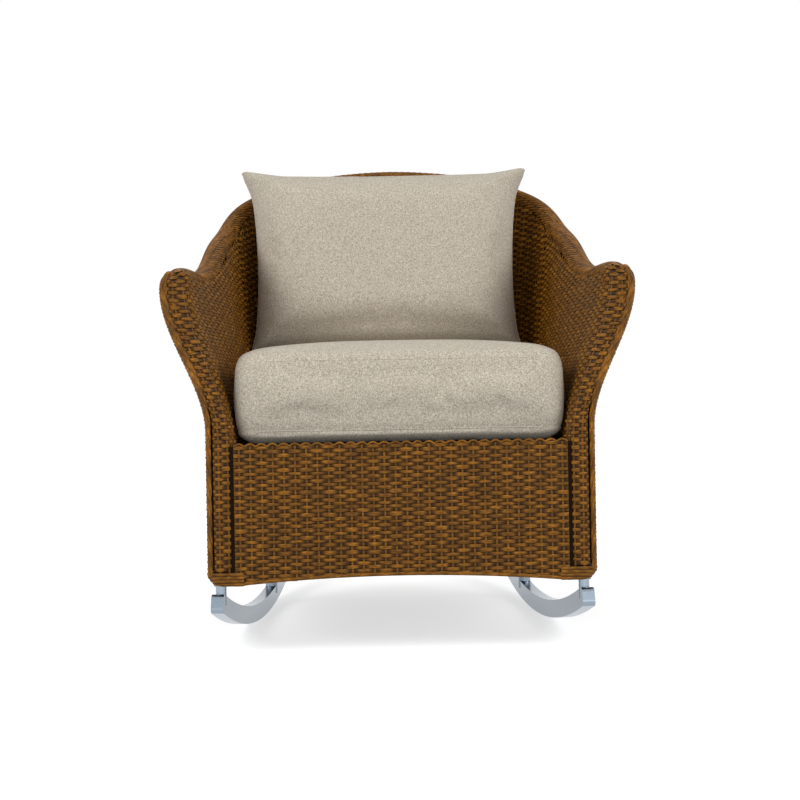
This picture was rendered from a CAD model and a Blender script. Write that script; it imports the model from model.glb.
import math

import bmesh
import bpy
import numpy as np
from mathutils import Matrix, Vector
from mathutils.bvhtree import BVHTree


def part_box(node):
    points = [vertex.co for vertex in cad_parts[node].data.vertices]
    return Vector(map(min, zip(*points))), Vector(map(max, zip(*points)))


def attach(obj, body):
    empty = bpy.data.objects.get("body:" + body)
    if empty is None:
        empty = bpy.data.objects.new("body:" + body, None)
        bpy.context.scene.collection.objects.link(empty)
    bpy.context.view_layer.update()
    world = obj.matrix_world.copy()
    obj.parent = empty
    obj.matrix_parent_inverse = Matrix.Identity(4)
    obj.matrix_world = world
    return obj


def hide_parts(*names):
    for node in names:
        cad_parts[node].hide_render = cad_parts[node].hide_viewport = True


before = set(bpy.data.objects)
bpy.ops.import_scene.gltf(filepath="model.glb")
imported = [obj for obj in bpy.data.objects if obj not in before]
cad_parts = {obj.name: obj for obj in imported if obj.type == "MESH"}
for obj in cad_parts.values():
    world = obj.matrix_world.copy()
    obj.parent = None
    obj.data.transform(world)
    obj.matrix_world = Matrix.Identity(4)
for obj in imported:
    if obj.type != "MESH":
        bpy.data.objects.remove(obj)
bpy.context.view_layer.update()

# Camera. It stands level with the middle of the chair's front, a little to the left of its
# middle line, and leans by one degree. The picture is square, 800 by 800.
FRONT = -0.429
CAMERA_LEFT = 0.04
CAMERA_BACK = 2.167
CAMERA_HEIGHT = 0.418
CAMERA_LEAN_DEGREES = -1.0
camera_data = bpy.data.cameras.new("camera")
camera_data.lens = 59
camera_data.sensor_width = 36
camera = bpy.data.objects.new("camera", camera_data)
camera.location = (-CAMERA_LEFT, FRONT - CAMERA_BACK, CAMERA_HEIGHT)
aim = Vector((0, FRONT, CAMERA_HEIGHT)) - camera.location
camera.rotation_euler = aim.to_track_quat("-Z", "Y").to_euler()
camera.rotation_euler.rotate_axis("Z", math.radians(CAMERA_LEAN_DEGREES))
bpy.context.scene.collection.objects.link(camera)
bpy.context.scene.camera = camera


# Tube frame. Round aluminium tube, bent and welded, then coated with baked powder. The weave
# hides nearly all of it; it is seen from below and through the gaps of the seat.
def linear(hexa):
    """Linear colour from an sRGB hex value."""
    parts = [int(hexa[i:i + 2], 16) / 255 for i in (0, 2, 4)]
    return tuple(c / 12.92 if c <= 0.04045 else ((c + 0.055) / 1.055) ** 2.4 for c in parts) + (1,)


def add_node(tree, kind, inputs=(), **settings):
    """Adds a node with its settings. An input is a value, or the output that feeds it."""
    node = tree.nodes.new(kind)
    for name, value in settings.items():
        setattr(node, name, value)
    for name, value in dict(inputs).items():
        if isinstance(value, bpy.types.NodeSocket):
            tree.links.new(value, node.inputs[name])
        else:
            node.inputs[name].default_value = value
    return node


def new_material(name):
    material = bpy.data.materials.new(name)
    material.use_nodes = True
    tree = material.node_tree
    return material, tree, tree.nodes["Principled BSDF"]


def set_colours(ramp, *colours):
    """Gives a colour ramp its places and hex colours."""
    stops = ramp.color_ramp.elements
    while len(stops) < len(colours):
        stops.new(0.5)
    for stop, (place, hexa) in zip(stops, colours):
        stop.position = place
        stop.color = linear(hexa)


def dress(material, *names):
    for name in names:
        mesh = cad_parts[name].data
        mesh.materials.clear()
        mesh.materials.append(material)


# Baked powder coat on aluminium: even and half dull, with a fine orange peel of about 1 mm.
tube_material, tree, shader = new_material("powder_coated_aluminium_tube")
coords = add_node(tree, "ShaderNodeTexCoord").outputs["Object"]
peel = add_node(tree, "ShaderNodeTexNoise", {"Vector": coords, "Scale": 900.0, "Detail": 2.0})
coat = add_node(tree, "ShaderNodeValToRGB", {"Fac": peel.outputs["Fac"]})
set_colours(coat, (0.3, "26211d"), (0.7, "37302a"))
tree.links.new(coat.outputs["Color"], shader.inputs["Base Color"])
dents = add_node(tree, "ShaderNodeBump", {"Height": peel.outputs["Fac"], "Strength": 0.15,
                                          "Distance": 0.0002})
tree.links.new(dents.outputs["Normal"], shader.inputs["Normal"])
shader.inputs["Roughness"].default_value = 0.5
tubes = [f"{side}_{part}" for side in ("left", "right")
         for part in ("arm_rail", "front_post", "rear_leg")]
tubes += [f"seat_{side}_rail" for side in ("front", "rear", "left", "right")]
tubes += [f"base_{side}_rail" for side in ("front", "rear", "left", "right")]
tubes += [f"{side}_back_stay" for side in ("left", "middle", "right")]
dress(tube_material, "back_rail", *tubes)

# Seat deck. Flat bands of dark woven webbing, laid lengthwise over crosswise bands and riveted
# to the seat's tubes. Only a bluish dark edge of it shows under the cushion.
# Woven polyester webbing: dull, with fine ribs across the band every 3 mm.
webbing_material, tree, shader = new_material("woven_polyester_webbing")
coords = add_node(tree, "ShaderNodeTexCoord").outputs["Object"]
ribs = add_node(tree, "ShaderNodeTexWave", {"Vector": coords, "Scale": 105.0, "Distortion": 1.0},
                bands_direction="DIAGONAL")
web = add_node(tree, "ShaderNodeValToRGB", {"Fac": ribs.outputs["Fac"]})
set_colours(web, (0.2, "23282d"), (0.8, "454c54"))
tree.links.new(web.outputs["Color"], shader.inputs["Base Color"])
dents = add_node(tree, "ShaderNodeBump", {"Height": ribs.outputs["Fac"], "Strength": 0.4,
                                          "Distance": 0.0005})
tree.links.new(dents.outputs["Normal"], shader.inputs["Normal"])
shader.inputs["Roughness"].default_value = 0.8
dress(webbing_material, "deck_long_straps", "deck_cross_straps")

# Rockers and feet. Each rocker is a flat aluminium bar bent to an arc with rounded ends. Short
# turned feet stand on it, held by studs with washers.
# Brushed aluminium: bright and bluish, with fine lines along the bar, drawn 0.4 mm apart.
bar_material, tree, shader = new_material("brushed_aluminium_bar")
coords = add_node(tree, "ShaderNodeTexCoord").outputs["Object"]
lines = add_node(tree, "ShaderNodeMapping", {"Vector": coords, "Scale": (2500, 14, 2500)})
grain = add_node(tree, "ShaderNodeTexNoise", {"Vector": lines.outputs["Vector"], "Scale": 1.0,
                                              "Detail": 2.0})
tone = add_node(tree, "ShaderNodeValToRGB", {"Fac": grain.outputs["Fac"]})
set_colours(tone, (0.3, "76828e"), (0.7, "9ca8b4"))
tree.links.new(tone.outputs["Color"], shader.inputs["Base Color"])
rough = add_node(tree, "ShaderNodeMapRange", {"Value": grain.outputs["Fac"], "To Min": 0.14,
                                              "To Max": 0.3})
tree.links.new(rough.outputs["Result"], shader.inputs["Roughness"])
shader.inputs["Metallic"].default_value = 1.0
feet = [f"{side}_{part}" for side in ("left", "right")
        for part in ("rocker", "front_foot", "rear_foot")]
dress(bar_material, "foot_studs", "foot_washers", "deck_clips", *feet)

# Arm linings. Each is one sheet woven in place: it starts at the braid on the front edge, rolls
# round the front of the arm and runs back along the inside to where the back begins to turn.
# The shell's frame is known at nine stations from the arm's front to the middle of the back.
RAIL = [(0.3709, 0.0351, 0.6160), (0.3679, 0.0747, 0.6281), (0.3590, 0.1998, 0.6331),
        (0.3519, 0.3001, 0.6600), (0.3478, 0.4202, 0.7151), (0.3389, 0.5402, 0.7621),
        (0.3117, 0.6354, 0.8202), (0.2011, 0.7049, 0.8750), (0.0, 0.7320, 0.9010)]
SEAT = [(0.2770, 0.060), (0.2776, 0.090), (0.2789, 0.200), (0.2809, 0.300), (0.2831, 0.420),
        (0.2759, 0.515), (0.2349, 0.575), (0.1299, 0.597), (0.0, 0.600)]
CORNER, LAST = 5, 8
DECK_TOP = 0.3449
FLARE_START = 0.370
ARM_HEIGHT = 0.606
ARM_TOP = 0.644
SHEET_OFFSET = 0.0214
LOWER_HALF_WIDTH = 0.322
SEAM_HALF_WIDTH = 0.277
WIDEST = 0.3724 + SHEET_OFFSET
BRAID_WIDTH = 0.012
EDGE_START = 0.618
EDGE_ROUND = 0.022
ROLL_LEAST = 0.018
ROLL_MORE = 0.038
ROW_PITCH = 0.0062
STAKE_PITCH = 0.0183
STRAND_ACROSS = np.array((0.0, 0.3, 0.7, 1.0))
STRAND_DOME = 0.0009
FLOAT_LIFT = 0.0014
STAKE_HALF = 0.0016
BACKING_SUNK = 0.0022
ROW_SHARE_UNEVEN = 0.13
ROW_SHARE_FILLED = 0.49
INSIDE, OUTSIDE = -1, 1

# Extruded resin strand, woven: golden brown, half gloss, its mixed colours drawn out in streaks
# of 11 by 1 mm. Each float is a little lighter or darker, and where strand dips it is dark.
strand_material, tree, shader = new_material("extruded_resin_strand")
uv = add_node(tree, "ShaderNodeUVMap", uv_map="strand").outputs["UV"]
lift = add_node(tree, "ShaderNodeAttribute", attribute_name="lift").outputs["Fac"]
stretch = add_node(tree, "ShaderNodeMapping", {"Vector": uv, "Scale": (90, 900, 1)})
streaks = add_node(tree, "ShaderNodeTexNoise", {"Vector": stretch.outputs["Vector"], "Scale": 1.0,
                                                "Detail": 3.0, "Roughness": 0.6})
ramp = add_node(tree, "ShaderNodeValToRGB", {"Fac": streaks.outputs["Fac"]})
set_colours(ramp, (0.32, "452904"), (0.5, "74490f"), (0.7, "a87228"))
lengths = add_node(tree, "ShaderNodeMapping", {"Vector": uv, "Scale": (50, 20, 1)})
floats = add_node(tree, "ShaderNodeTexNoise", {"Vector": lengths.outputs["Vector"], "Scale": 1.0,
                                               "Detail": 0.0})
shade = add_node(tree, "ShaderNodeMapRange", {"Value": floats.outputs["Fac"], "From Min": 0.3,
                                              "From Max": 0.7, "To Min": 0.7, "To Max": 1.35})
sunk = add_node(tree, "ShaderNodeMapRange", {"Value": lift, "From Min": 0.0, "From Max": 0.75,
                                             "To Min": 0.16, "To Max": 1.0})
both = add_node(tree, "ShaderNodeMath", {0: shade.outputs["Result"], 1: sunk.outputs["Result"]},
                operation="MULTIPLY")
tinted = add_node(tree, "ShaderNodeVectorMath", {0: ramp.outputs["Color"],
                                                 "Scale": both.outputs["Value"]}, operation="SCALE")
tree.links.new(tinted.outputs["Vector"], shader.inputs["Base Color"])
dents = add_node(tree, "ShaderNodeBump", {"Height": streaks.outputs["Fac"], "Strength": 0.25,
                                          "Distance": 0.0004})
tree.links.new(dents.outputs["Normal"], shader.inputs["Normal"])
shader.inputs["Roughness"].default_value = 0.45
shader.inputs["Specular IOR Level"].default_value = 0.15

# The same strand, seen deep in the weave where no light comes: nearly black brown and dull.
shadow_material, tree, shader = new_material("resin_strand_deep_in_the_weave")
coords = add_node(tree, "ShaderNodeTexCoord").outputs["Object"]
noise = add_node(tree, "ShaderNodeTexNoise", {"Vector": coords, "Scale": 400.0, "Detail": 2.0})
dark = add_node(tree, "ShaderNodeValToRGB", {"Fac": noise.outputs["Fac"]})
set_colours(dark, (0.3, "120a03"), (0.7, "241506"))
tree.links.new(dark.outputs["Color"], shader.inputs["Base Color"])
shader.inputs["Roughness"].default_value = 0.85
shader.inputs["Specular IOR Level"].default_value = 0.1


class Weave:
    """One woven piece: strips of strand and a dark backing, gathered in one mesh."""

    def __init__(self, name):
        self.name = name
        self.bm = bmesh.new()
        self.lift = self.bm.verts.layers.float.new("lift")
        self.uv = self.bm.loops.layers.uv.new("strand")
        self.strips = 0

    def strip(self, points, lifts, lengths, across=STRAND_ACROSS, side=1, material=0):
        """A strip of strand from an operator grid, its vertices moved to the given points,
        which are indexed by place along the strip, then by place across it."""
        count, wide = points.shape[:2]
        lifts = np.broadcast_to(lifts, (count, wide))
        made = bmesh.ops.create_grid(self.bm, x_segments=count - 1, y_segments=wide - 1, size=1)
        verts = made["verts"]
        places = np.array([v.co[:2] for v in verts])
        i = np.rint((places[:, 0] + 1) / 2 * (count - 1)).astype(int)
        j = np.rint((places[:, 1] + 1) / 2 * (wide - 1)).astype(int)
        where = {}
        for v, a, b in zip(verts, i, j):
            v.co = points[a, b]
            v[self.lift] = lifts[a, b]
            where[v] = (a, b)
        self.strips += 1
        faces = list({face for v in verts for face in v.link_faces})
        for face in faces:
            face.material_index = material
            face.smooth = True
            for loop in face.loops:
                a, b = where[loop.vert]
                loop[self.uv].uv = (lengths[a], across[b] * ROW_PITCH + self.strips * 0.31)
        if side < 0:
            bmesh.ops.reverse_faces(self.bm, faces=faces)

    def mirror(self):
        bmesh.ops.scale(self.bm, vec=(-1, 1, 1), verts=self.bm.verts)
        bmesh.ops.reverse_faces(self.bm, faces=self.bm.faces)

    def finish(self, *nodes):
        mesh = bpy.data.meshes.new(self.name)
        self.bm.to_mesh(mesh)
        self.bm.free()
        mesh.materials.append(strand_material)
        mesh.materials.append(shadow_material)
        piece = bpy.data.objects.new(self.name, mesh)
        bpy.context.scene.collection.objects.link(piece)
        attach(piece, "chair")
        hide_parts(*nodes)


def smooth(share):
    share = np.clip(share, 0, 1)
    return share * share * (3 - 2 * share)


def distances(line):
    """How far along a line of points each of them lies."""
    return np.concatenate([[0], np.cumsum(np.linalg.norm(np.diff(line, axis=0), axis=1))])


def through(points, places):
    """Points at the given places on a smooth curve through points; place 2.5 is half way from
    the third point to the fourth."""
    points = np.asarray(points, float)
    steps = np.maximum(np.linalg.norm(np.diff(points, axis=0), axis=1), 1e-5)
    count = len(points)
    system = np.eye(count)
    right = np.zeros_like(points)
    for i in range(1, count - 1):
        a, b = steps[i - 1], steps[i]
        system[i, i - 1:i + 2] = a, 2 * (a + b), b
        right[i] = 6 * ((points[i + 1] - points[i]) / b - (points[i] - points[i - 1]) / a)
    bends = np.linalg.solve(system, right)
    places = np.clip(np.asarray(places, float), 0, count - 1)
    at = np.minimum(places.astype(int), count - 2)
    step = steps[at][:, None]
    far = (places - at)[:, None] * step
    near = step - far
    return (
        (bends[at] * near ** 3 + bends[at + 1] * far ** 3) / (6 * step)
        + (points[at] / step - bends[at] * step / 6) * near
        + (points[at + 1] / step - bends[at + 1] * step / 6) * far
    )


def both_ways(keys):
    """Key points on past the middle of the back, so that the curve is level across it."""
    return keys + [(-x, y, z) for x, y, z in keys[-2:-5:-1]]


def rail_outward(station):
    if station == LAST:
        return np.array((0.0, 1.0))
    along = np.subtract(RAIL[station + 1], RAIL[max(station - 1, 0)])
    out = np.array((along[1], -along[0]))
    return out / np.linalg.norm(out)


def outer_edge(z):
    """Half width of the chair's front outline at a height."""
    if z <= ARM_HEIGHT:
        flared = smooth((z - FLARE_START) / (ARM_HEIGHT - FLARE_START))
        return LOWER_HALF_WIDTH + (WIDEST - LOWER_HALF_WIDTH) * flared
    above = min((z - ARM_HEIGHT) / (ARM_TOP - ARM_HEIGHT), 1)
    end = RAIL[1][0]
    return end + (WIDEST - end) * math.sqrt(1 - above * above)


def lining_keys(z):
    """The inside of the shell at one height, as key points from the braid on the right, round
    the roll and the arm to the middle of the back. Near its top the arm's front curls back."""
    outer = outer_edge(z) - BRAID_WIDTH
    high = RAIL[1][0] - SHEET_OFFSET
    flared = smooth((z - DECK_TOP) / (RAIL[1][2] - DECK_TOP))
    wall = SEAM_HALF_WIDTH + (high - SEAM_HALF_WIDTH) * flared
    bend = (wall + outer) / 2
    rise = min(max((z - FLARE_START) / (ARM_TOP - FLARE_START), 0), 1)
    depth = ROLL_LEAST + ROLL_MORE * math.sin(math.pi * rise)
    above = min(max(z - EDGE_START, 0), EDGE_ROUND)
    front = FRONT + EDGE_ROUND - math.sqrt(EDGE_ROUND ** 2 - above ** 2)
    keys = [(outer + (bend - outer) * share, front, z) for share in (0, 0.25, 0.5, 0.75)]
    for share in (0, 0.25, 0.5, 0.75, 1):
        turn = math.pi / 2 * share
        keys.append((bend + (wall - bend) * math.sin(turn), front + depth * (1 - math.cos(turn)), z))
    for station in range(2, LAST + 1):
        x, y, top = RAIL[station]
        share = (z - DECK_TOP) / (top - DECK_TOP)
        high = np.array((x, y)) - rail_outward(station) * SHEET_OFFSET
        flat = np.array(SEAT[station]) * (1 - share) + high * share
        keys.append((flat[0], FRONT + flat[1], z))
    return both_ways(keys)


def stake_places(keys, first, last):
    """Places of the stakes on a curve, about a stake pitch apart along it."""
    fine = np.linspace(first, last, 1500)
    length = distances(through(keys, fine))
    count = max(int(round(length[-1] / STAKE_PITCH)), 1)
    return np.interp((np.arange(count) + 0.5) / count * length[-1], length, fine)


def facing(points, side):
    """Unit normals of a grid of points. Side is 1 or -1, whichever turns them to the viewer."""
    normal = np.cross(np.gradient(points, axis=0), np.gradient(points, axis=1))
    return side * normal / np.maximum(np.linalg.norm(normal, axis=2, keepdims=True), 1e-9)


def stake_counts(places, stakes):
    """Places as counts of stakes: 3.5 is half way from the fourth stake to the fifth."""
    counts = np.interp(places, stakes, np.arange(len(stakes)))
    before = (stakes[0] - places) / (stakes[1] - stakes[0])
    after = (places - stakes[-1]) / (stakes[-1] - stakes[-2])
    return counts - np.maximum(before, 0) + np.maximum(after, 0)


chance = np.random.default_rng(11)


def weave_panel(weave, keys_at, first, last, stakes, low, high, top_of, foot_of, seen):
    """Rows of strand between two heights, woven round the stakes and cut off where the top or
    the foot of the panel runs across them, with the stakes and a dark backing."""
    fine = np.linspace(first, last, 400)
    tops, feet = top_of(fine), foot_of(fine)
    rows = int(round((high - low) / ROW_PITCH))
    uneven = chance.uniform(-ROW_SHARE_UNEVEN, ROW_SHARE_UNEVEN, rows + 1)
    uneven[[0, -1]] = 0
    edges = low + (np.arange(rows + 1) + uneven) * (high - low) / rows
    dome = 4 * STRAND_ACROSS * (1 - STRAND_ACROSS) * STRAND_DOME
    worn = 0.5 + 0.5 * np.sqrt(4 * STRAND_ACROSS * (1 - STRAND_ACROSS))
    for row in range(rows):
        middle = (edges[row] + edges[row + 1]) / 2
        half = (edges[row + 1] - edges[row]) * ROW_SHARE_FILLED
        inside = (tops > middle) & (feet < edges[row] + 0.001)
        turns = np.flatnonzero(np.diff(np.concatenate([[0], inside.astype(int), [0]])))
        for begin, end in zip(turns[::2], turns[1::2]):
            if end - begin < 4:
                continue
            counts = stake_counts(fine[[begin, end - 1]], stakes)
            t = np.linspace(fine[begin], fine[end - 1], max(int((counts[1] - counts[0]) * 6), 4))
            wave = np.cos(math.pi * (stake_counts(t, stakes) + row))
            wave = np.sign(wave) * np.abs(wave) ** 0.6
            lower = through(keys_at(middle - half), t)
            upper = through(keys_at(middle + half), t)
            points = lower[:, None] + (upper - lower)[:, None] * STRAND_ACROSS[None, :, None]
            raised = wave[:, None, None] * FLOAT_LIFT + dome[None, :, None]
            points = points + facing(points, seen) * raised
            weave.strip(points, (wave[:, None] + 1) / 2 * worn[None, :], distances(lower), side=seen)
    for place in stakes:
        top = min(high, float(np.interp(place, fine, tops)))
        foot = max(low, float(np.interp(place, fine, feet)))
        if top - foot < 3 * ROW_PITCH:
            continue
        levels = np.linspace(foot, top, max(int((top - foot) / 0.02), 3))
        line = []
        for z in levels:
            near = through(keys_at(z), [place - 0.02, place, place + 0.02])
            along = (near[2] - near[0]) / np.linalg.norm(near[2] - near[0])
            line.append([near[1] + along * STAKE_HALF * way for way in (-1, 0, 1)])
        points = np.array(line)
        points = points + facing(points, -seen) * np.array((-0.0004, 0.0003, -0.0004))[None, :, None]
        weave.strip(points, 0.62, levels, (0, 0.5, 1), side=-seen)
    levels = np.linspace(low, high, 24)
    places = np.linspace(first, last, 60)
    heights = np.clip(levels[:, None], foot_of(places)[None, :], top_of(places)[None, :])
    points = np.array([[through(keys_at(z), [p])[0] for z, p in zip(column, places)] for column in heights])
    points = np.transpose(points, (1, 0, 2))
    points = points - facing(points, seen) * BACKING_SUNK
    weave.strip(points, 0, places, levels, side=seen, material=1)


def border_strand(weave, keys_at, places, middles, half, seen):
    """One strand laid along the edge of a panel, over the ends of its stakes."""
    points = np.array([[through(keys_at(z + (s - 0.5) * 2 * half), [p])[0] for s in STRAND_ACROSS]
                       for p, z in zip(places, middles)])
    dome = 4 * STRAND_ACROSS * (1 - STRAND_ACROSS) * 0.0012 + 0.0014
    points = points + facing(points, seen) * dome[None, :, None]
    weave.strip(points, 0.5 + 2 * STRAND_ACROSS * (1 - STRAND_ACROSS), distances(points[:, 1]), side=seen)


BRAID_FOOT = 0.135
SHELL_FOOT = 0.115
SIDE_TOP = 0.765
BACK_TOP = 0.902
ARM_FRONT_PLACES = 8
corner_place = ARM_FRONT_PLACES + CORNER - 1
back_place = ARM_FRONT_PLACES + LAST - 1
lining_stakes = stake_places(lining_keys(0.5), 0, back_place)


def lining_top(places):
    heights = [0.640] * 4 + [0.636, 0.634, 0.632, 0.630, 0.628] + [top for x, y, top in RAIL[2:]]
    return np.interp(places, np.arange(len(heights)), heights)


def lining_foot(places):
    return np.where(places < ARM_FRONT_PLACES - 0.01, BRAID_FOOT, DECK_TOP)


for side in ("right", "left"):
    weave = Weave(f"{side}_arm_lining")
    stakes = lining_stakes[lining_stakes < corner_place + 0.3]
    weave_panel(weave, lining_keys, 0, corner_place, stakes, SHELL_FOOT, SIDE_TOP,
                lining_top, lining_foot, INSIDE)
    if side == "left":
        weave.mirror()
    weave.finish(f"{side}_arm_front", f"{side}_inner_arm")

# Back lining. The same sheet goes on round the back, behind the pillow, up to the top rail.
weave = Weave("back_lining")
stakes = lining_stakes[lining_stakes > corner_place - 0.3]
for half in ("right", "left"):
    weave.mirror()
    weave_panel(weave, lining_keys, corner_place, back_place, stakes, DECK_TOP, BACK_TOP,
                lining_top, lining_foot, INSIDE)
weave.finish("inner_back")

# Outer sides. Woven sheets from the base tube up to the rail, flared out like the arms, with a
# strand along the foot that binds the ends of the stakes.
BASE = [(0.3214, 0.041), (0.3201, 0.080), (0.3165, 0.200), (0.3136, 0.300), (0.3101, 0.420),
        (0.3030, 0.540), (0.2621, 0.635), (0.1501, 0.672), (0.0, 0.680)]
BRAID_HALF_DEPTH = 0.0045
BINDING_HALF = 0.003
BRAID_PLACE = 0.6
SIDE_ARCH = 0.048


def outside_keys(z):
    """The outside of the shell at one height, from the braid on the right to the back."""
    keys = [(outer_edge(min(z, ARM_HEIGHT)), FRONT + BRAID_HALF_DEPTH, z)]
    for station in range(1, LAST + 1):
        x, y, top = RAIL[station]
        lean = smooth((z - FLARE_START) / (top - FLARE_START))
        high = np.array((x, y)) + rail_outward(station) * SHEET_OFFSET
        flat = np.array(BASE[station]) * (1 - lean) + high * lean
        keys.append((flat[0], FRONT + flat[1], z))
    return both_ways(keys)


def outside_top(places):
    """Just under the winding on the rail; at the braid, a little above the arm's joint."""
    heights = [0.612] + [top for x, y, top in RAIL[1:]]
    return np.interp(places, np.arange(len(heights)), heights)


def outside_foot(places):
    """A low arch between the corners. Under the braid the foot is that of the corner wrap."""
    along = np.where(places <= CORNER, places / CORNER, (places - CORNER) / (LAST - CORNER) / 2)
    arch = SHELL_FOOT + SIDE_ARCH * along * (1 - along)
    return np.where(places < BRAID_PLACE, BRAID_FOOT, arch)


outside_stakes = stake_places(outside_keys(0.35), 0, LAST)
for side in ("right", "left"):
    weave = Weave(f"{side}_side_skin")
    stakes = outside_stakes[outside_stakes < CORNER + 0.2]
    weave_panel(weave, outside_keys, 0, CORNER, stakes, SHELL_FOOT, SIDE_TOP,
                outside_top, outside_foot, OUTSIDE)
    places = np.linspace(BRAID_PLACE, CORNER, 120)
    border_strand(weave, outside_keys, places, outside_foot(places) + BINDING_HALF, BINDING_HALF, OUTSIDE)
    if side == "left":
        weave.mirror()
    weave.finish(f"{side}_outer_side")

# Outer back. It closes the shell behind, from the base tube up to the top rail.
weave = Weave("back_skin")
stakes = outside_stakes[outside_stakes > CORNER - 0.2]
for half in ("right", "left"):
    weave.mirror()
    weave_panel(weave, outside_keys, CORNER, LAST, stakes, SHELL_FOOT, BACK_TOP,
                outside_top, outside_foot, OUTSIDE)
    places = np.linspace(CORNER, LAST, 100)
    border_strand(weave, outside_keys, places, outside_foot(places) + BINDING_HALF, BINDING_HALF, OUTSIDE)
weave.finish("outer_back")

# Apron. The woven panel under the cushion, flat between the front posts, with a low arch along
# its foot. One strand loops over the stake ends along its top, a scallop to each stake.
APRON_HALF = 0.2765
APRON_TOP = 0.3462
APRON_ARCH = 0.013
SCALLOP_RISE = 0.0042
SCALLOP_HALF = 0.0018
SLOT_SIDES = (APRON_HALF - 0.003, 0.287)
SLOT_ENDS = (0.117, 0.345)
SLOT_SUNK = 0.0030


def apron_keys(z):
    return [(APRON_HALF * share, FRONT, z) for share in (-1, -0.5, 0, 0.5, 1)]


def apron_top(places):
    return np.full_like(places, APRON_TOP)


def apron_foot(places):
    return SHELL_FOOT + APRON_ARCH * (1 - (places / 2 - 1) ** 2)


weave = Weave("front_apron_skin")
apron_stakes = stake_places(apron_keys(0.3), 0, 4)
weave_panel(weave, apron_keys, 0, 4, apron_stakes, SHELL_FOOT, APRON_TOP,
            apron_top, apron_foot, OUTSIDE)
places = np.linspace(0, 4, 81)
border_strand(weave, apron_keys, places, apron_foot(places) + BINDING_HALF, BINDING_HALF, OUTSIDE)
places = np.linspace(0, 4, len(apron_stakes) * 10)
scallops = np.abs(np.cos(math.pi * stake_counts(places, apron_stakes)))
border_strand(weave, apron_keys, places, APRON_TOP - 0.001 + SCALLOP_RISE * scallops,
              SCALLOP_HALF, OUTSIDE)
for way in (-1, 1):
    slot = np.array([[(x, FRONT + SLOT_SUNK, z) for z in SLOT_ENDS]
                     for x in sorted(way * side for side in SLOT_SIDES)])
    weave.strip(slot, 0, (0, 0.01), (0, 1), material=1)
weave.finish("front_apron")

# Rail winding. Strand is wound round the whole hoop in a long slant, eighteen side by side, so
# that it covers the stake ends of both sheets and makes the rounded top of the shell.
WINDING_RADIUS = 0.0218
WINDING_STARTS = 18
WINDING_LEAD = 0.218
WINDING_STEP = 0.0045
DIP_SPACING = 0.036
DIP_DEPTH = 0.0012
STRAND_ROUND = 0.0020
CORE_SUNK = 0.0036
rail_keys = [(outer_edge(z) - SHEET_OFFSET, FRONT + 0.0208, z) for z in (0.560, 0.585)]
rail_keys = both_ways(rail_keys + [(x, FRONT + y, z) for x, y, z in RAIL])


def wind(weave, keys, first, last):
    """Strands wound side by side round a curve, over a dark core. They dip here and there."""
    fine = np.linspace(first, last, 1200)
    length = distances(through(keys, fine))
    along = np.linspace(0, length[-1], int(length[-1] / WINDING_STEP))
    centre = through(keys, np.interp(along, length, fine))
    tangent = np.gradient(centre, axis=0)
    tangent /= np.linalg.norm(tangent, axis=1, keepdims=True)
    side = np.cross(tangent, (0.0, 0.0, 1.0))
    side /= np.maximum(np.linalg.norm(side, axis=1, keepdims=True), 1e-6)
    over = np.cross(side, tangent)

    def ring(angles, reach):
        out = np.cos(angles)[:, :, None] * side[:, None] + np.sin(angles)[:, :, None] * over[:, None]
        return centre[:, None] + out * reach

    dome = 4 * STRAND_ACROSS * (1 - STRAND_ACROSS)
    for start in range(WINDING_STARTS):
        turns = (start + 0.95 * STRAND_ACROSS[None, :]) / WINDING_STARTS + along[:, None] / WINDING_LEAD
        dips = np.maximum(np.cos(2 * math.pi * (along / DIP_SPACING + start * 0.38)), 0) ** 5
        sunk = STRAND_ROUND * (1 - dome)[None, :] + DIP_DEPTH * dips[:, None]
        points = ring(2 * math.pi * turns, (WINDING_RADIUS - sunk)[:, :, None])
        weave.strip(points, (0.08 + 0.92 * dome)[None, :] * (1 - 0.75 * dips)[:, None], along)
    angles = np.linspace(0, 2 * math.pi, 17)[None, :] + np.zeros((len(along), 1))
    weave.strip(ring(angles, WINDING_RADIUS - CORE_SUNK), 0, along, np.linspace(0, 20, 17), material=1)


for side in ("right", "left"):
    weave = Weave(f"{side}_arm_rail_winding")
    wind(weave, rail_keys, 0.5, 2 + CORNER)
    if side == "left":
        weave.mirror()
    weave.finish(f"{side}_arm_rail_wrap")
weave = Weave("back_rail_winding")
for half in ("right", "left"):
    weave.mirror()
    wind(weave, rail_keys, 2 + CORNER, 2 + LAST)
weave.finish("back_rail_wrap")

# Edge braids. Three strands plaited along each front edge over the seam between the sheets,
# thin on the post and wider on the arm, tucked in behind the roll at the top.
BRAID_START = 0.132
BRAID_RISE = 0.036
BRAID_TUCK = (0.363, FRONT + 0.034, 0.6365)
BRAID_STEP = 0.0022
BRAID_PROUD = 0.0048
BRAID_TAPER = 0.03
PLAIT_LENGTH = 0.085


def braid_half(heights):
    return 0.0045 + 0.0020 * smooth((heights - 0.36) / 0.1)


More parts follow.
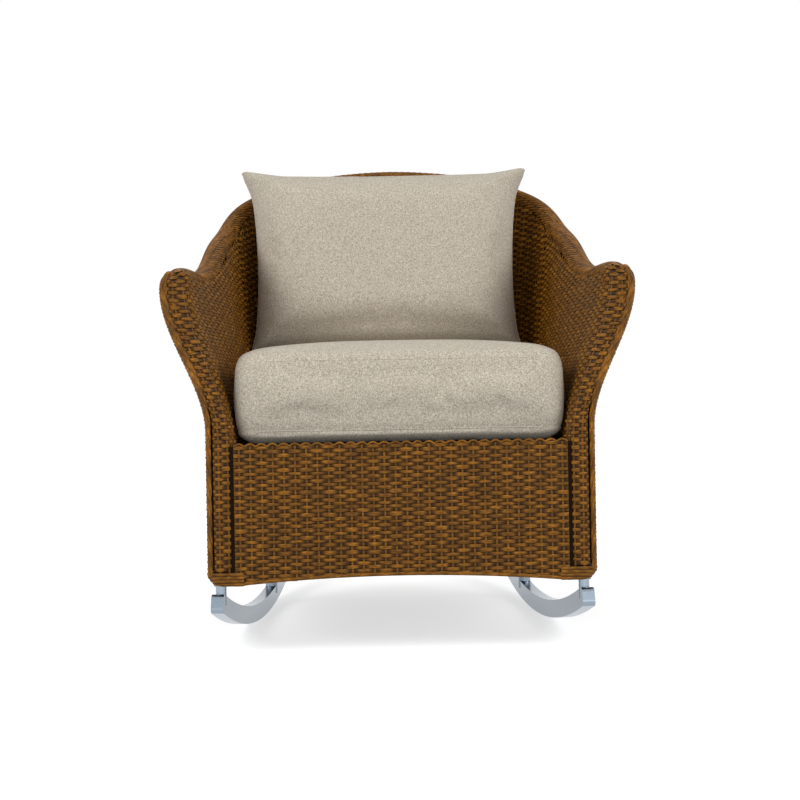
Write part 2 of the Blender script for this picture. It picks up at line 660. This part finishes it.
def edge_braid(weave):
    """The braid down the right front edge: a flat tube of three lobes that turn along it."""
    heights = np.concatenate([np.linspace(BRAID_START, ARM_HEIGHT, 60),
                              ARM_HEIGHT + BRAID_RISE * np.sin(np.linspace(0.1, 1.5, 12))])
    outline = np.array([(outer_edge(z), z) for z in heights])
    upward = np.gradient(outline, axis=0)
    upward /= np.linalg.norm(upward, axis=1, keepdims=True)
    halves = braid_half(heights)
    above = np.clip(heights - EDGE_START, 0, EDGE_ROUND)
    line = np.stack([outline[:, 0] - upward[:, 1] * halves,
                     FRONT + 0.0225 - np.sqrt(EDGE_ROUND ** 2 - above ** 2),
                     outline[:, 1] + upward[:, 0] * halves], axis=1)
    line = np.concatenate([line, [BRAID_TUCK]])
    length = distances(line)
    along = np.linspace(0, length[-1], int(length[-1] / BRAID_STEP))
    centre = np.stack([np.interp(along, length, line[:, k]) for k in range(3)], axis=1)
    tangent = np.gradient(centre, axis=0)
    tangent /= np.linalg.norm(tangent, axis=1, keepdims=True)
    side = np.cross(tangent, (0.0, -1.0, 0.0))
    side /= np.maximum(np.linalg.norm(side, axis=1, keepdims=True), 1e-6)
    forward = np.cross(side, tangent)
    taper = np.clip((length[-1] - along) / BRAID_TAPER, 0.25, 1)
    half = braid_half(centre[:, 2]) * taper
    angles = np.linspace(0, 2 * math.pi, 33)
    phase = 3 * (angles[None, :] / (2 * math.pi) + along[:, None] / PLAIT_LENGTH)
    dome = np.abs(np.sin(math.pi * phase)) ** 0.6
    reach = 1 - 0.3 * (1 - dome)
    points = (
        centre[:, None]
        + side[:, None] * (half[:, None] * np.cos(angles) * reach)[:, :, None]
        + forward[:, None] * (BRAID_PROUD * taper[:, None] * np.sin(angles) * reach)[:, :, None]
    )
    weave.strip(points, 0.1 + 0.9 * dome, along, np.linspace(0, 6, 33))


for side in ("right", "left"):
    weave = Weave(f"{side}_edge_braid")
    edge_braid(weave)
    if side == "left":
        weave.mirror()
    weave.finish(f"{side}_front_braid")

# Front corner wraps. Four flat strands drawn round the foot of each front post and nailed
# behind, where the apron, the arm front and the side meet.
CORNER_LEVELS = np.array((0.115, 0.1185, 0.1275, 0.132))
CORNER_REACH = np.array((0.304, 0.314, 0.3215, 0.3235))
CORNER_STRANDS = (0.1182, 0.1238, 0.1294, 0.1350)
CORNER_STRAND_WIDTH = 0.0054
CORNER_STRAND_DOME = 0.0011
CORNER_FOOT = 0.1155
WRAP_PROUD = 0.0026


def corner_line(z):
    """A strand's way round the right corner at a height, from the apron to the side."""
    reach = float(np.interp(z, CORNER_LEVELS, CORNER_REACH))
    plan = ((0.262, -WRAP_PROUD), (0.285, -WRAP_PROUD), (reach - 0.014, -WRAP_PROUD),
            (reach - 0.004, 0.0008), (reach, 0.010), (reach + 0.0006, 0.028), (reach + 0.0002, 0.050))
    return through([(x, FRONT + y, z) for x, y in plan], np.linspace(0, 6, 40))


for side in ("right", "left"):
    weave = Weave(f"{side}_corner_strands")
    for z in CORNER_STRANDS:
        points = np.stack([corner_line(z + (s - 0.5) * CORNER_STRAND_WIDTH) for s in STRAND_ACROSS], axis=1)
        dome = 4 * STRAND_ACROSS * (1 - STRAND_ACROSS)
        points = points + facing(points, 1) * (dome * CORNER_STRAND_DOME)[None, :, None]
        weave.strip(points, 0.15 + 0.85 * dome, distances(points[:, 1]))
    outline = corner_line(CORNER_FOOT)
    inner = np.stack([np.minimum(outline[:, 0], 0.270), outline[:, 1], outline[:, 2] + 0.002], axis=1)
    inner[:, 1] = np.maximum(inner[:, 1], FRONT + 0.004)
    weave.strip(np.stack([outline, inner], axis=1), 0, distances(outline), (0, 1), material=1)
    if side == "left":
        weave.mirror()
    weave.finish(f"{side}_front_corner_wrap")

# Rear leg wraps. Strand wound close round the foot of each rear leg, turn on turn.
LEG_TURN = 0.0062
LEG_STRAND_WIDTH = 0.0060
LEG_STRAND_DOME = 0.0012
for side in ("right", "left"):
    low, high = (np.array(corner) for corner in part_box(f"{side}_rear_leg_wrap"))
    middle = (low + high) / 2
    radius = (high[0] - low[0]) / 2
    tall = high[2] - low[2] - LEG_STRAND_WIDTH
    turns = int(round(tall / LEG_TURN))
    weave = Weave(f"{side}_leg_winding")
    share = np.linspace(0, 1, turns * 28)
    angles = 2 * math.pi * turns * share
    heights = low[2] + LEG_STRAND_WIDTH / 2 + tall * share
    dome = 4 * STRAND_ACROSS * (1 - STRAND_ACROSS)
    rises = (STRAND_ACROSS - 0.5) * LEG_STRAND_WIDTH
    reach = radius - LEG_STRAND_DOME * (1 - dome)
    points = np.stack([middle[0] + np.cos(angles)[:, None] * reach,
                       middle[1] + np.sin(angles)[:, None] * reach,
                       heights[:, None] + rises[None, :]], axis=2)
    weave.strip(points, 0.15 + 0.85 * dome, angles * radius)
    weave.finish(f"{side}_rear_leg_wrap")

# Seat cushion. A loose box cushion: a foam core in a sewn cover, crowned on top, its sides drawn
# in a little between the corners, seamed round its top and bottom edges.
# Heathered woven cloth: dull, with light and dark yarns crossing. Yarns are under 1 mm in the
# real cloth and drawn about 1.5 mm wide here, so that they show.
cloth_material, tree, shader = new_material("heathered_woven_cloth")
coords = add_node(tree, "ShaderNodeTexCoord").outputs["Object"]
yarns = []
for scale in ((310, 840, 840), (840, 310, 310)):
    laid = add_node(tree, "ShaderNodeMapping", {"Vector": coords, "Scale": scale})
    yarns.append(add_node(tree, "ShaderNodeTexNoise", {"Vector": laid.outputs["Vector"], "Scale": 1.0,
                                                       "Detail": 1.0}).outputs["Fac"])
crossed = add_node(tree, "ShaderNodeMath", {0: yarns[0], 1: yarns[1]}, operation="ADD")
mixed = add_node(tree, "ShaderNodeMapRange", {"Value": crossed.outputs["Value"], "From Min": 0.6,
                                              "From Max": 1.4})
yarn = add_node(tree, "ShaderNodeValToRGB", {"Fac": mixed.outputs["Result"]})
set_colours(yarn, (0.15, "968d7e"), (0.5, "b6ad9d"), (0.85, "d2cabb"))
tree.links.new(yarn.outputs["Color"], shader.inputs["Base Color"])
dents = add_node(tree, "ShaderNodeBump", {"Height": crossed.outputs["Value"], "Strength": 0.3,
                                          "Distance": 0.0006})
tree.links.new(dents.outputs["Normal"], shader.inputs["Normal"])
shader.inputs["Roughness"].default_value = 0.9
shader.inputs["Specular IOR Level"].default_value = 0.2
shader.inputs["Sheen Weight"].default_value = 0.1


CUSHION_WIDE = 0.567
CUSHION_SWELL = 0.0055
CUSHION_CROWN = 0.005
FOOT_LIFT = 0.009
HELD_SWELL = 0.001
CLOTH_MESH = 0.006
CLOTH_PRESSURE = 4
CLOTH_FRAMES = 20


def place_soft(piece, body):
    piece.data.materials.clear()
    piece.data.materials.append(cloth_material)
    for face in piece.data.polygons:
        face.use_smooth = True
    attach(piece, body)


def stuffed(name, node, cap, held, wide, shape):
    """A filled cover: its filling's shape, blown up as cloth and kept within a cap. Held gives
    the directions that something lies against, where it swells only by a millimetre. The cover
    is cut full enough to end up as wide as given."""
    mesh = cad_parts[node].data.copy()
    piece = bpy.data.objects.new(name, mesh)
    bpy.context.scene.collection.objects.link(piece)
    bpy.context.view_layer.objects.active = piece
    bm = bmesh.new()
    bm.from_mesh(mesh)
    bmesh.ops.remove_doubles(bm, verts=bm.verts, dist=1e-5)
    bm.to_mesh(mesh)
    bm.free()
    remesh = piece.modifiers.new("even", "REMESH")
    remesh.mode = "VOXEL"
    remesh.voxel_size = CLOTH_MESH
    with bpy.context.temp_override(object=piece, active_object=piece):
        bpy.ops.object.modifier_apply(modifier="even")
    rest = np.array([v.co for v in piece.data.vertices])
    outward = np.array([v.normal for v in piece.data.vertices])
    cloth = piece.modifiers.new("filled", "CLOTH")
    cloth.settings.use_pressure = True
    cloth.settings.uniform_pressure_force = CLOTH_PRESSURE
    cloth.settings.effector_weights.gravity = 0
    for number in range(1, CLOTH_FRAMES + 1):
        bpy.context.scene.frame_set(number)
    made = piece.evaluated_get(bpy.context.evaluated_depsgraph_get()).to_mesh()
    moved = np.array([v.co for v in made.vertices]) - rest
    piece.modifiers.remove(cloth)
    bpy.context.scene.frame_set(1)
    limit = np.full(len(rest), cap)
    for direction in held:
        against = smooth((outward @ np.array(direction) - 0.35) / 0.3)
        limit = limit * (1 - against) + HELD_SWELL * against
    far = np.linalg.norm(moved, axis=1)
    rest = rest + moved * np.minimum(1, limit / np.maximum(far, 1e-9))[:, None]
    middle = (rest[:, 0].min() + rest[:, 0].max()) / 2
    rest[:, 0] = middle + (rest[:, 0] - middle) * wide / np.ptp(rest[:, 0])
    rest = shape(rest)
    piece.data.vertices.foreach_set("co", rest.ravel())
    piece.data.update()
    finer = piece.modifiers.new("finer", "SUBSURF")
    finer.levels = finer.render_levels = 1
    return piece


def seam(name, piece, middle, ways, half=0.0010, proud=0.0005):
    """A sewn seam laid on a filled cover where a flat fan of lines from its middle meets it."""
    tree_of_faces = BVHTree.FromObject(piece, bpy.context.evaluated_depsgraph_get())
    hits = [tree_of_faces.ray_cast(Vector(middle), Vector(way)) for way in ways]
    spots = np.array([hit[0] for hit in hits])
    out = np.array([hit[1] for hit in hits])
    for smoothing in range(3):
        spots = (np.roll(spots, 1, axis=0) + 2 * spots + np.roll(spots, -1, axis=0)) / 4
    along = np.roll(spots, -1, axis=0) - np.roll(spots, 1, axis=0)
    across = np.cross(out, along)
    across /= np.linalg.norm(across, axis=1, keepdims=True)
    profile = ((-1, -0.0008), (-0.5, proud), (0.5, proud), (1, -0.0008))
    points = np.stack([spots + across * half * way + out * rise for way, rise in profile], axis=1)
    bm = bmesh.new()
    count = len(spots)
    made = bmesh.ops.create_grid(bm, x_segments=count, y_segments=3, size=1)
    for v in made["verts"]:
        a = int(round((v.co.x + 1) / 2 * count)) % count
        b = int(round((v.co.y + 1) / 2 * 3))
        v.co = points[a, b]
    bmesh.ops.remove_doubles(bm, verts=bm.verts, dist=1e-6)
    bmesh.ops.recalc_face_normals(bm, faces=bm.faces)
    mesh = bpy.data.meshes.new(name)
    bm.to_mesh(mesh)
    bm.free()
    line = bpy.data.objects.new(name, mesh)
    bpy.context.scene.collection.objects.link(line)
    return line


def round_up_foot(spots):
    """Rounds the cushion's lower edge up off the deck and crowns its top."""
    low, high = spots.min(axis=0), spots.max(axis=0)
    crown = 1 - (2 * (spots[:, 0] - low[0]) / (high[0] - low[0]) - 1) ** 2
    risen = CUSHION_CROWN * crown * smooth((spots[:, 2] - low[2]) / (high[2] - low[2]))
    spots = spots + risen[:, None] * np.array((0, 0, 1))
    inside = np.minimum(np.minimum(spots[:, 0] - low[0], high[0] - spots[:, 0]), spots[:, 1] - low[1])
    lifted = FOOT_LIFT * smooth(1 - inside / 0.04) * smooth(1 - (spots[:, 2] - low[2]) / 0.05)
    return spots + lifted[:, None] * np.array((0, 0, 1))


cushion = stuffed("seat_cushion_stuffed", "seat_cushion_core", CUSHION_SWELL, [(0, 0, -1)],
                  CUSHION_WIDE, round_up_foot)
place_soft(cushion, "seat_cushion")
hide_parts("seat_cushion_cover", "seat_cushion_core")
low, high = (np.array(corner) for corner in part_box("seat_cushion_cover"))
fan = [(math.cos(turn), math.sin(turn), 0) for turn in np.linspace(0, 2 * math.pi, 361)[:-1]]
for name, height in (
    ("seat_cushion_top_seam", high[2] - 0.034),
    ("seat_cushion_bottom_seam", low[2] + 0.024),
):
    middle = ((low[0] + high[0]) / 2, (low[1] + high[1]) / 2, height)
    place_soft(seam(name, cushion, middle, fan), "seat_cushion")

# Back pillow. A loose pillow stuffed with fibre: two panels sewn edge to edge, thick in the
# middle, with pointed corners that stand out like ears and sides that draw in between them.
LEAN = math.atan(0.1106 / 0.5561)
PILLOW_FOOT = np.array((-0.015, 0.0990, 0.5154))
PILLOW_UP = np.array((0.0, math.sin(LEAN), math.cos(LEAN)))
PILLOW_OUT = np.array((0.0, -math.cos(LEAN), math.sin(LEAN)))
PILLOW_TALL = 0.388
PILLOW_RISE = 0.007
PILLOW_WIDE = 0.572
PILLOW_SWELL = 0.007
PILLOW_EARS = ((0.286, PILLOW_TALL, 0.017), (0.274, 0.0, 0.006))
EAR_REACH = 0.036


def draw_out_ears(spots):
    """Pulls the pillow taller and its corners out to points, most at the top."""
    across = spots[:, 0] - PILLOW_FOOT[0]
    up = (spots - PILLOW_FOOT) @ PILLOW_UP
    up = up + PILLOW_RISE * smooth(up / PILLOW_TALL)
    spots = spots + (PILLOW_RISE * smooth(up / PILLOW_TALL))[:, None] * PILLOW_UP
    for way in (-1, 1):
        for half, height, pull in PILLOW_EARS:
            near = np.exp(-((across - way * half) ** 2 + (up - height) ** 2) / EAR_REACH ** 2)
            lifted = 0.55 if height else -0.3
            spots = spots + (pull * near)[:, None] * (np.array((way, 0, 0)) + PILLOW_UP * lifted)
    return spots


pillow = stuffed("back_pillow_stuffed", "back_pillow_fill", PILLOW_SWELL,
                 [tuple(-PILLOW_OUT), (0, 0, -1)], PILLOW_WIDE, draw_out_ears)
place_soft(pillow, "back_pillow")
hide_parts("back_pillow_cover", "back_pillow_fill")
middle = PILLOW_FOOT + PILLOW_UP * PILLOW_TALL / 2
fan = [tuple(math.cos(turn) * np.array((1, 0, 0)) + math.sin(turn) * PILLOW_UP)
       for turn in np.linspace(0, 2 * math.pi, 481)[:-1]]
place_soft(seam("back_pillow_seam", pillow, middle, fan, proud=0.0016), "back_pillow")

# Floor, light and background. The floor is matt white. Seen directly it glows a little, more
# with distance, so that it fades to the white of the background and still keeps the shadow.
def plainly_seen(tree):
    """1 for a ray that shows the background itself: straight, mirrored or passed through."""
    paths = add_node(tree, "ShaderNodeLightPath").outputs
    straight = add_node(tree, "ShaderNodeMath", {0: paths["Is Camera Ray"], 1: paths["Is Glossy Ray"]},
                        operation="MAXIMUM")
    return add_node(tree, "ShaderNodeMath", {0: straight.outputs["Value"],
                                             1: paths["Is Transmission Ray"]},
                    operation="MAXIMUM").outputs["Value"]


floor_material, tree, shader = new_material("white_floor")
shader.inputs["Base Color"].default_value = linear("c0c0c0")
shader.inputs["Roughness"].default_value = 1.0
shader.inputs["Specular IOR Level"].default_value = 0.0
shader.inputs["Emission Color"].default_value = (1, 1, 1, 1)
seen = plainly_seen(tree)
coords = add_node(tree, "ShaderNodeTexCoord").outputs["Object"]
far = add_node(tree, "ShaderNodeVectorMath", {0: coords}, operation="LENGTH")
fade = add_node(tree, "ShaderNodeMapRange", {"Value": far.outputs["Value"], "From Min": 0.25,
                                             "From Max": 1.3, "To Min": 0.66, "To Max": 1.0})
glow = add_node(tree, "ShaderNodeMath", {0: seen, 1: fade.outputs["Result"]},
                operation="MULTIPLY")
tree.links.new(glow.outputs["Value"], shader.inputs["Emission Strength"])
bm = bmesh.new()
bmesh.ops.create_grid(bm, x_segments=1, y_segments=1, size=9)
mesh = bpy.data.meshes.new("floor")
bm.to_mesh(mesh)
bm.free()
mesh.materials.append(floor_material)
floor = bpy.data.objects.new("floor", mesh)
bpy.context.scene.collection.objects.link(floor)
world = bpy.data.worlds.new("studio")
bpy.context.scene.world = world
world.use_nodes = True
tree = world.node_tree
background = tree.nodes["Background"]
background.inputs["Color"].default_value = (1, 1, 1, 1)
seen = plainly_seen(tree)
strength = add_node(tree, "ShaderNodeMapRange", {"Value": seen, "To Min": 0.4, "To Max": 1.0})
tree.links.new(strength.outputs["Result"], background.inputs["Strength"])
for name, place, power, wide in (
    ("key", (-2.8, -1.8, 2.5), 76, 1.8),
    ("fill", (2.8, -1.9, 2.2), 68, 2.0),
    ("front", (0.2, -3.4, 0.6), 26, 2.4),
):
    lamp = bpy.data.lights.new(name, "AREA")
    lamp.energy = power
    lamp.size = wide
    holder = bpy.data.objects.new(name, lamp)
    holder.location = place
    holder.rotation_euler = (Vector((0, 0, 0.45)) - Vector(place)).to_track_quat("-Z", "Y").to_euler()
    bpy.context.scene.collection.objects.link(holder)

bpy.context.scene.view_settings.view_transform = "Standard"
